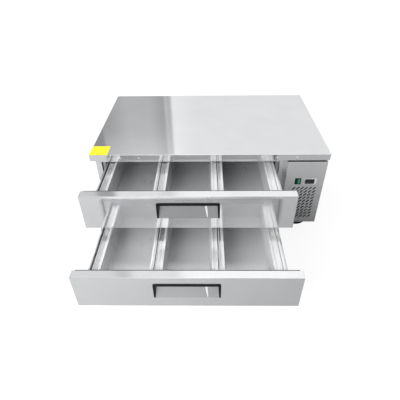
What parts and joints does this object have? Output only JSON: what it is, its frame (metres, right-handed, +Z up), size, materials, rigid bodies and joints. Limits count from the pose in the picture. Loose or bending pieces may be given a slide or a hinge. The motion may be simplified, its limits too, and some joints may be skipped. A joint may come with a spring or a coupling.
{
  "type": "refrigerated chef base",
  "caption": "Low stainless refrigerated equipment stand with wide sliding drawers, a slotted machine cover and swivel casters.",
  "frame": {"origin": "bottom centre of the object's box with both drawers open as pictured", "axes": "+Z up, the drawer fronts face -Y, +X to the right of a person facing the drawers"},
  "size_m": [1.324, 1.468, 0.638],
  "materials": {
    "steel": "satin",
    "inner_steel": "satin",
    "zinc": "satin",
    "foam": "matte",
    "seal": "matte",
    "black_plastic": "satin",
    "pale_plastic": "satin",
    "green_plastic": "gloss",
    "black_paint": "satin",
    "alloy": "satin",
    "copper": "satin",
    "tyre": "matte",
    "film": "satin"
  },
  "bodies": {
    "root": {"worktop": "steel", "corner_film": "film", "left_side_panel": "steel", "right_side_panel": "steel", "back_panel": "steel", "bottom_panel": "steel", "front_frame": "steel", "inner_liner": "inner_steel", "insulation": "foam", "partition_panel": "inner_steel", "slide_rack_left": "zinc", "slide_rack_right": "zinc", "machine_cover": "steel", "rear_grille": "steel", "power_inlet": "black_plastic", "switch_bezel": "black_plastic", "thermostat_case": "pale_plastic", "compressor": "black_paint", "condenser_coil": "alloy", "condenser_fan_mount": "zinc", "evaporator": "alloy", "suction_line": "copper", "discharge_line": "copper", "front_left_caster_plate": "zinc", "front_right_caster_plate": "zinc", "rear_left_caster_plate": "zinc", "rear_right_caster_plate": "zinc"},
    "upper_drawer": {"upper_front_shell": "steel", "upper_front_liner": "foam", "upper_gasket": "seal", "upper_handle_trim": "black_plastic", "upper_handle_pocket": "steel", "upper_drawer_frame": "steel", "upper_tray_left": "inner_steel", "upper_tray_middle": "inner_steel", "upper_tray_right": "inner_steel"},
    "upper_slides": {"upper_slide_middle_left": "zinc", "upper_slide_middle_right": "zinc"},
    "lower_drawer": {"lower_front_shell": "steel", "lower_front_liner": "foam", "lower_gasket": "seal", "lower_handle_trim": "black_plastic", "lower_handle_pocket": "steel", "lower_drawer_frame": "steel", "lower_tray_left": "inner_steel", "lower_tray_middle": "inner_steel", "lower_tray_right": "inner_steel"},
    "lower_slides": {"lower_slide_middle_left": "zinc", "lower_slide_middle_right": "zinc"},
    "switch": {"switch_rocker": "green_plastic"},
    "condenser_fan": {"condenser_fan": "alloy"},
    "evaporator_fan": {"evaporator_fan": "alloy"},
    "front_left_fork": {"front_left_caster_fork": "zinc"},
    "front_left_wheel": {"front_left_caster_wheel": "tyre"},
    "front_right_fork": {"front_right_caster_fork": "zinc"},
    "front_right_wheel": {"front_right_caster_wheel": "tyre"},
    "rear_left_fork": {"rear_left_caster_fork": "zinc"},
    "rear_left_wheel": {"rear_left_caster_wheel": "tyre"},
    "rear_right_fork": {"rear_right_caster_fork": "zinc"},
    "rear_right_wheel": {"rear_right_caster_wheel": "tyre"}
  },
  "joints": [
    {"name": "upper_drawer_slide", "type": "slide", "parent": "root", "child": "upper_drawer", "axis": [0, -1, 0], "range_m": [-0.308, 0.342]},
    {"name": "upper_slide_stage", "type": "slide", "parent": "root", "child": "upper_slides", "axis": [0, -1, 0], "range_m": [-0.154, 0.171]},
    {"name": "lower_drawer_slide", "type": "slide", "parent": "root", "child": "lower_drawer", "axis": [0, -1, 0], "range_m": [-0.628, 0.022]},
    {"name": "lower_slide_stage", "type": "slide", "parent": "root", "child": "lower_slides", "axis": [0, -1, 0], "range_m": [-0.314, 0.011]},
    {"name": "switch_rock", "type": "hinge", "parent": "root", "child": "switch", "pos_m": [0.507, -0.10005, 0.46], "axis": [1, 0, 0], "range_deg": [-20, 0]},
    {"name": "condenser_fan_spin", "type": "hinge", "parent": "root", "child": "condenser_fan", "pos_m": [0.5459, 0.04595, 0.2806], "axis": [0, 1, 0], "continuous": true},
    {"name": "evaporator_fan_spin", "type": "hinge", "parent": "root", "child": "evaporator_fan", "pos_m": [0.216, 0.62595, 0.281], "axis": [0, 1, 0], "continuous": true},
    {"name": "front_left_swivel", "type": "hinge", "parent": "root", "child": "front_left_fork", "pos_m": [-0.556, 0.05795, 0.13], "axis": [0, 0, 1], "continuous": true},
    {"name": "front_left_roll", "type": "hinge", "parent": "front_left_fork", "child": "front_left_wheel", "pos_m": [-0.526, 0.05795, 0.0635], "axis": [0, 1, 0], "continuous": true},
    {"name": "front_right_swivel", "type": "hinge", "parent": "root", "child": "front_right_fork", "pos_m": [0.562, 0.05795, 0.13], "axis": [0, 0, 1], "continuous": true},
    {"name": "front_right_roll", "type": "hinge", "parent": "front_right_fork", "child": "front_right_wheel", "pos_m": [0.592, 0.05795, 0.0635], "axis": [0, 1, 0], "continuous": true},
    {"name": "rear_left_swivel", "type": "hinge", "parent": "root", "child": "rear_left_fork", "pos_m": [-0.556, 0.63395, 0.13], "axis": [0, 0, 1], "continuous": true},
    {"name": "rear_left_roll", "type": "hinge", "parent": "rear_left_fork", "child": "rear_left_wheel", "pos_m": [-0.526, 0.63395, 0.0635], "axis": [0, 1, 0], "continuous": true},
    {"name": "rear_right_swivel", "type": "hinge", "parent": "root", "child": "rear_right_fork", "pos_m": [0.562, 0.63395, 0.13], "axis": [0, 0, 1], "continuous": true},
    {"name": "rear_right_roll", "type": "hinge", "parent": "rear_right_fork", "child": "rear_right_wheel", "pos_m": [0.592, 0.63395, 0.0635], "axis": [0, 1, 0], "continuous": true}
  ],
  "couplings": [
    {"joint": "upper_slide_stage", "follows": "upper_drawer_slide", "ratio": 0.5},
    {"joint": "lower_slide_stage", "follows": "lower_drawer_slide", "ratio": 0.5}
  ]
}
